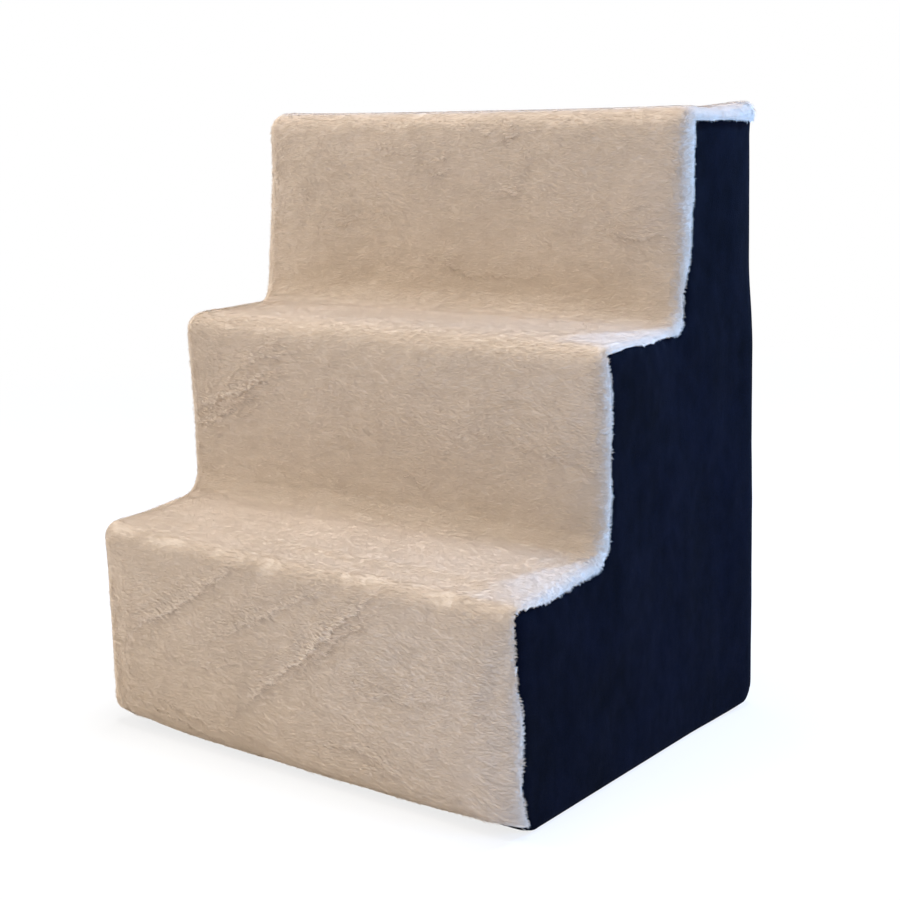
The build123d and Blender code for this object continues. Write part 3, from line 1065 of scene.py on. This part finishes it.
foams = []
for step in ("lower", "middle", "upper"):
    for kind, nosing in (("foam_block_", 0.004), ("tread_pad_", 0.016)):
        foams.append((cut_foam(kind + step, nosing), kind + step))
print("foam pieces:", len(foams))

# %% [markdown]
# ## Materials as sums
# A `Signal` wraps one socket, so that node maths reads like a formula, and a
# `Finish` is one material, whose `node` adds any other node from its type, its
# settings and its inputs.

# %% Material helpers
class Signal:
    """One output socket that can be added, taken from a number, and multiplied."""

    def __init__(self, finish, socket):
        self.finish, self.socket = finish, socket

    def __add__(self, other):
        return self.finish.node("ShaderNodeMath", {"operation": "ADD"}, {0: self, 1: other})

    def __rsub__(self, other):
        return self.finish.node("ShaderNodeMath", {"operation": "SUBTRACT"}, {0: other, 1: self})

    def __mul__(self, other):
        return self.finish.node("ShaderNodeMath", {"operation": "MULTIPLY"}, {0: self, 1: other})

    __radd__, __rmul__ = __add__, __mul__


class Finish:
    """One material and the nodes in it."""

    def __init__(self, name):
        self.material = bpy.data.materials.new(name)
        self.material.use_nodes = True
        self.tree = self.material.node_tree
        self.tree.nodes.clear()
        self.place = self.node("ShaderNodeTexCoord", output="Object")

    def node(self, kind, settings=None, inputs=None, output=0):
        """Adds any node with its settings and inputs, and gives the signal of one of its outputs."""
        node = self.tree.nodes.new(kind)
        for name, value in (settings or {}).items():
            setattr(node, name, value)
        for name, value in (inputs or {}).items():
            if isinstance(value, Signal):
                self.tree.links.new(value.socket, node.inputs[name])
            else:
                node.inputs[name].default_value = value
        return Signal(self, node.outputs[output]) if len(node.outputs) else None

    def noise(self, scale, detail=3.0, stretch=(1, 1, 1)):
        """Uneven patches, with about scale of them to a metre."""
        place = self.place
        if stretch != (1, 1, 1):
            place = self.node("ShaderNodeMapping", inputs={"Vector": place, "Scale": stretch})
        return self.node("ShaderNodeTexNoise", inputs={"Vector": place, "Scale": scale, "Detail": detail})

    def limit(self, signal, low, high):
        """Spreads the part of a signal from low to high over 0 to 1."""
        return self.node("ShaderNodeMapRange", inputs={"Value": signal, "From Min": low, "From Max": high})

    def blend(self, factor, first, second):
        """A colour between two others."""
        return self.node("ShaderNodeMix", {"data_type": "RGBA"}, {0: factor, 6: first, 7: second}, output=2)

    def surface(self, colour, roughness, height=None, distance=0.0005, **constants):
        """The shader itself, with a bump from height where one is given."""
        inputs = {"Base Color": colour, "Roughness": roughness}
        inputs |= {name.replace("_", " "): value for name, value in constants.items()}
        if height is not None:
            bump = {"Height": height, "Distance": distance, "Strength": 1.0}
            inputs["Normal"] = self.node("ShaderNodeBump", inputs=bump)
        shader = self.node("ShaderNodeBsdfPrincipled", inputs=inputs)
        self.node("ShaderNodeOutputMaterial", inputs={"Surface": shader})
        return self.material


def tint(red, green, blue):
    """A colour as a picture shows it, from 0 to 255, as the light that it returns."""
    spread = [((v / 255 + 0.055) / 1.055) ** 2.4 if v > 10 else v / 255 / 12.92 for v in (red, green, blue)]
    return (*spread, 1.0)


# %% [markdown]
# ## Plush
# The pile is off-white with warm and cool strands mixed, dull, and with a very faint sheen. Its `shade`
# attribute, set while it grew, is painted light: a painted highlight on the lip of a crease and a painted
# shadow where the pile is parted.

# %% Plush
def plush_finish():
    f = Finish("cream_plush")
    cloud = f.noise(14, 2)
    strand = f.noise(900, 2, (0.35, 1, 1))
    fleck = f.noise(160, 3)
    streak = f.noise(240, 3, (0.25, 1, 1))
    colour = f.blend(f.limit(0.2 * strand + 0.3 * cloud + 0.2 * fleck + 0.3 * streak, 0.36, 0.64),
                     tint(209, 191, 171), tint(222, 205, 187))
    shade = f.node("ShaderNodeAttribute", {"attribute_name": "shade"}, output=2)
    # Painted highlight on the lips of the creases.
    colour = f.blend(0.75 * f.limit(shade, 0.0, 1.2), colour, tint(238, 224, 207))
    # Painted shadow where the pile is parted below a crease.
    colour = f.blend(0.75 * f.limit(0.0 - shade, 0.0, 1.2), colour, tint(158, 138, 121))
    return f.surface(colour, 0.82 + 0.12 * fleck, strand + 0.6 * fleck, 0.0002,
                     Sheen_Weight=0.12, Sheen_Roughness=0.5, Sheen_Tint=(1, 0.97, 0.93, 1),
                     Specular_IOR_Level=0.1)


# %% [markdown]
# ## Velour
# Navy velour is nearly black, with soft clouds where the nap lies differently. It
# returns a trace of blue light at grazing angles, which is its sheen.

# %% Velour
def velour_finish():
    f = Finish("navy_velour")
    cloud = f.noise(18, 4)
    nap = f.noise(120, 4, (1, 1, 0.6))
    fibre = f.noise(1400, 2)
    mix = f.limit(0.5 * cloud + 0.35 * nap + 0.15 * fibre, 0.36, 0.66)
    colour = f.blend(mix, tint(4, 5, 10), tint(8, 10, 21))
    return f.surface(colour, 0.9 - 0.2 * nap, fibre + 0.8 * nap, 0.0004,
                     Sheen_Weight=0.006, Sheen_Roughness=0.4, Sheen_Tint=(0.45, 0.58, 1.0, 1),
                     Specular_IOR_Level=0.02)


# %% [markdown]
# ## The finishes of the zip
# The tape is a fine diagonal weave, the teeth are smooth nylon, and the slider, its
# pull and the stops are painted metal, worn bright in thin scratches.

# %% Tape, teeth and metal
def tape_finish():
    f = Finish("woven_tape")
    weave = f.node("ShaderNodeTexWave", {"wave_type": "BANDS", "bands_direction": "DIAGONAL"},
                   {"Vector": f.place, "Scale": 500.0, "Distortion": 0.4}, output=1)
    speck = f.noise(900, 2)
    colour = f.blend(0.6 * weave + 0.4 * speck, tint(14, 18, 32), tint(34, 42, 66))
    return f.surface(colour, 0.75 + 0.1 * speck, weave + 0.3 * speck, 0.0003, Sheen_Weight=0.1)


def teeth_finish():
    f = Finish("nylon_teeth")
    haze = f.noise(500, 2)
    colour = f.blend(haze, tint(16, 20, 36), tint(28, 34, 56))
    return f.surface(colour, 0.3 + 0.2 * haze, haze, 0.00005)


def metal_finish():
    f = Finish("painted_metal")
    haze = f.noise(260, 3)
    scratch = f.noise(1500, 2, (1, 1, 0.08))
    wear = f.limit(scratch + 0.4 * haze, 0.78, 0.92)
    colour = f.blend(wear, tint(38, 42, 54), tint(150, 152, 158))
    return f.surface(colour, 0.32 + 0.2 * haze, scratch, 0.00004, Metallic=0.85)


# %% [markdown]
# ## Rubber, foam and thread
# These show least: grey rubber dots with a fine grain, foam whose pores are the
# cells of a Voronoi pattern, and a twisted thread a little lighter than the velour.

# %% Rubber, foam and thread
def rubber_finish():
    f = Finish("grip_rubber")
    grain = f.noise(700, 3)
    colour = f.blend(grain, tint(40, 41, 44), tint(62, 63, 66))
    return f.surface(colour, 0.6 + 0.25 * grain, grain, 0.0002)


def foam_finish(name, pale):
    f = Finish(name)
    pores = f.node("ShaderNodeTexVoronoi", inputs={"Vector": f.place, "Scale": 420.0})
    cloud = f.noise(30, 3)
    colour = f.blend(0.5 * pores + 0.5 * cloud, pale, tint(205, 196, 160))
    return f.surface(colour, 0.85 + 0.1 * cloud, pores, 0.0008)


def thread_finish():
    f = Finish("navy_thread")
    twist = f.noise(2500, 2)
    colour = f.blend(twist, tint(20, 28, 56), tint(44, 58, 100))
    return f.surface(colour, 0.55 + 0.2 * twist, twist, 0.0001)


plush, velour, tape_weave = plush_finish(), velour_finish(), tape_finish()
teeth, metal, rubber = teeth_finish(), metal_finish(), rubber_finish()
foam, soft_foam = foam_finish("core_foam", tint(236, 226, 186)), foam_finish("pad_foam", tint(226, 230, 236))
thread_fibre = thread_finish()
print("finishes:", [material.name for material in bpy.data.materials])

# %% [markdown]
# ## Dressing the model
# Each piece gets its finish, rides on its body, and stands for the solid that it replaces.

# %% Give finishes and bodies
def dress(piece, material, body="stairs", stands_for=()):
    """Gives a piece its finish and its body, and names the solids that it replaces."""
    piece.data.materials.clear()
    piece.data.materials.append(material)
    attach(piece, body)
    if stands_for:
        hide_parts(*stands_for)


def area(piece):
    """The area of one side of a piece of cloth that is modelled with both sides."""
    sizes = np.empty(len(piece.data.polygons))
    piece.data.polygons.foreach_get("area", sizes)
    return sizes.sum() / 2


dress(runner, plush, stands_for=["step_runner"])
for pile in piles:
    dress(pile, plush)
stands = {
    "velour_side_left": "side_panel_left", "velour_side_right": "side_panel_right",
    "velour_base": "base_panel", "velour_back_flap": "back_flap",
    "velour_back_bottom": "back_border_bottom", "velour_back_left": "back_border_left",
    "velour_back_right": "back_border_right",
}
for name, node in stands.items():
    dress(panels[name], velour, stands_for=[node])
for name, tape in tapes.items():
    dress(tape, tape_weave, stands_for=["zip_tape_" + name])
    dress(chains[name], teeth, stands_for=["zip_coil_" + name])
for stitches in (thread, tab_thread):
    dress(stitches, thread_fibre)
for tab, node in zip(tabs, ("zip_end_tab_left", "zip_end_tab_right")):
    dress(tab, velour, stands_for=[node])
for piece, node in foams:
    material, slot = (soft_foam, "soft_foam") if "pad" in node else (foam, "foam")
    dress(piece, material, stands_for=[node])
for node, material in (("zip_slider", metal), ("zip_pull_tab", metal), ("zip_top_stops", metal),
                       ("zip_bottom_stop", metal), ("grip_dots", rubber)):
    mesh = frame["nodes"][node].data
    mesh.materials.clear()
    mesh.materials.append(material)

print("areas:", {p.name: round(area(p), 4) for p in [runner, *panels.values(), *tapes.values(), *tabs]})

# %% [markdown]
# ## The size of the runner
# The runner is as long as all risers and treads together, and as wide as the stairs with both turns.

# %% [markdown]
# ## Floor and background
# The floor and the background are white for the camera, and for what metal shows
# of them, so they put no extra light on the object. The floor still takes its
# shadow, because part of it stays a plain pale surface near the object.

# %% Floor and background
def seen_directly(finish):
    """1 for the camera, mirrors and glass, and 0 for the light that falls on the object."""
    seen = finish.node("ShaderNodeLightPath", output="Is Camera Ray")
    for name in ("Is Glossy Ray", "Is Transmission Ray"):
        ray = finish.node("ShaderNodeLightPath", output=name)
        seen = finish.node("ShaderNodeMath", {"operation": "MAXIMUM"}, {0: seen, 1: ray})
    return seen


bpy.ops.object.select_all(action="DESELECT")
bpy.ops.mesh.primitive_plane_add(size=12, location=(0, 0, 0))
floor = bpy.context.object
floor.name = "studio_floor"

f = Finish("studio_floor")
far = f.node("ShaderNodeVectorMath", {"operation": "LENGTH"}, {0: f.place}, output=1)
share = 0.8 + 0.2 * f.limit(far, 0.5, 1.8)
pale = f.blend(f.noise(3, 2), tint(243, 243, 243), tint(247, 247, 247))
lit = f.node("ShaderNodeBsdfDiffuse", inputs={"Color": pale})
white = f.node("ShaderNodeEmission", inputs={"Color": (1, 1, 1, 1), "Strength": 1.0})
mixed = f.node("ShaderNodeMixShader", inputs={0: share * seen_directly(f), 1: lit, 2: white})
f.node("ShaderNodeOutputMaterial", inputs={"Surface": mixed})
floor.data.materials.append(f.material)


class Room(Finish):
    """The nodes of the world, which are added as a material's are."""

    def __init__(self, name):
        self.world = bpy.data.worlds.new(name)
        self.world.use_nodes = True
        self.tree = self.world.node_tree
        self.tree.nodes.clear()


room = Room("studio")
soft = room.node("ShaderNodeBackground", inputs={"Color": (1.0, 0.96, 0.92, 1), "Strength": 0.08})
white = room.node("ShaderNodeBackground", inputs={"Color": (1, 1, 1, 1), "Strength": 1.0})
mixed = room.node("ShaderNodeMixShader", inputs={0: seen_directly(room), 1: soft, 2: white})
room.node("ShaderNodeOutputWorld", inputs={"Surface": mixed})
bpy.context.scene.world = room.world
print("floor:", floor.name, "world:", room.world.name)

# %% [markdown]
# ## Light
# A large warm lamp stands low in front, a smaller one at the left grazes the
# risers, and one hangs above the treads. Two cool ones at the right and behind,
# as from a window, pick out the plush at the right edge.

# %% Lamps
aim = Vector((0, 0, 0.2))


def lamp(name, place, size, power, colour):
    """A square soft lamp that looks from its place at the stairs."""
    bpy.ops.object.select_all(action="DESELECT")
    bpy.ops.object.light_add(type="AREA", location=place)
    light = bpy.context.object
    light.name = name
    light.rotation_euler = (aim - Vector(place)).to_track_quat("-Z", "Y").to_euler()
    light.data.shape = "SQUARE"
    light.data.size = size
    light.data.energy = power
    light.data.color = colour
    print("lamp:", name, power, "W")


lamp("front", (-0.6, -2.3, 0.45), size=1.4, power=18, colour=(1.0, 0.90, 0.76))
lamp("left_soft", (-2.1, -0.8, 1.3), size=0.8, power=24, colour=(1.0, 0.92, 0.80))
lamp("right_soft", (1.5, 0.4, 0.58), size=0.7, power=29, colour=(0.25, 0.50, 1.0))
lamp("window", (1.05, 2.1, 1.5), size=0.3, power=105, colour=(0.20, 0.46, 1.0))
lamp("above", (0.0, 0.1, 2.4), size=1.0, power=58, colour=(0.96, 0.97, 1.0))

# %% [markdown]
# ## Camera
# The camera stands in front at the right, level with the top step. Its three
# directions were fitted to the edges of the stairs, which run along x, y and z.

# %% Camera
right = Vector((0.78925, 0.61339, -0.02909))
up = Vector((-0.10590, 0.18261, 0.97747))
toward = Vector((0.60488, -0.76838, 0.20908))
camera = bpy.data.objects.new("camera", bpy.data.cameras.new("camera"))
bpy.context.scene.collection.objects.link(camera)
camera.data.lens = 67.2
camera.data.sensor_width = 36
turned = Matrix((right, up, toward)).transposed().to_4x4()
camera.matrix_world = Matrix.Translation((0.7633, -0.9354, 0.4592)) @ turned
bpy.context.scene.camera = camera
bpy.context.scene.view_settings.view_transform = "Standard"
print("camera lens:", camera.data.lens)
